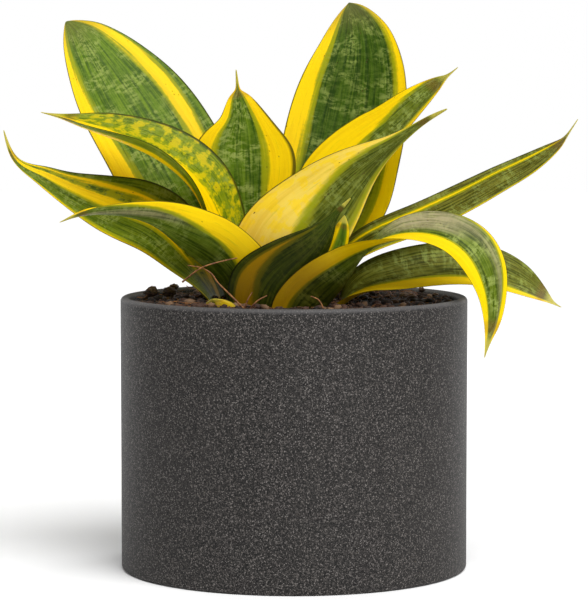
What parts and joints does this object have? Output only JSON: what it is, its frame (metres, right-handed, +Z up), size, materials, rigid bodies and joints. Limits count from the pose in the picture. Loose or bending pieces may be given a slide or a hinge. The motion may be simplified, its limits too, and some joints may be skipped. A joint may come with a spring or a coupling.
{
  "type": "potted plant",
  "caption": "Short snake plant rosette with yellow-edged, cross-banded green leaves, growing from soil in a plain dark cylindrical pot.",
  "frame": {"origin": "centre of the pot's foot, on the surface it stands on", "axes": "+Z up along the pot's axis; the plant's front, seen in the reference view, faces -Y; +X is to the viewer's right"},
  "size_m": [0.2328, 0.14, 0.2293],
  "materials": {
    "pot": "matte",
    "soil": "matte",
    "leaf_back_left": "satin",
    "leaf_back_right": "satin",
    "leaf_centre": "satin",
    "leaf_left_upper": "satin",
    "leaf_left_long": "satin",
    "leaf_left_front": "satin",
    "leaf_front_right": "satin",
    "leaf_right_upper": "satin",
    "leaf_front_small": "satin",
    "leaf_young": "satin",
    "leaf_right_long": "satin",
    "leaf_arching": "satin",
    "leaf_right_low": "satin",
    "sheath": "satin",
    "fibre": "matte",
    "pebble": "matte"
  },
  "bodies": {
    "root": {"pot": "pot", "soil": "soil", "leaf_back_left": "leaf_back_left", "leaf_back_right": "leaf_back_right", "leaf_centre": "leaf_centre", "leaf_left_upper": "leaf_left_upper", "leaf_left_long": "leaf_left_long", "leaf_left_front": "leaf_left_front", "leaf_front_right": "leaf_front_right", "leaf_right_upper": "leaf_right_upper", "leaf_front_small": "leaf_front_small", "leaf_young": "leaf_young", "leaf_right_long": "leaf_right_long", "leaf_arching": "leaf_arching", "leaf_right_low": "leaf_right_low", "sheath": "sheath", "fibre_long": "fibre", "fibre_across": "fibre", "fibre_fork_left": "fibre", "fibre_fork_right": "fibre", "fibre_right": "fibre", "pebble_1": "pebble", "pebble_2": "pebble", "pebble_3": "pebble", "pebble_4": "pebble", "pebble_5": "pebble", "pebble_6": "pebble"}
  },
  "joints": []
}
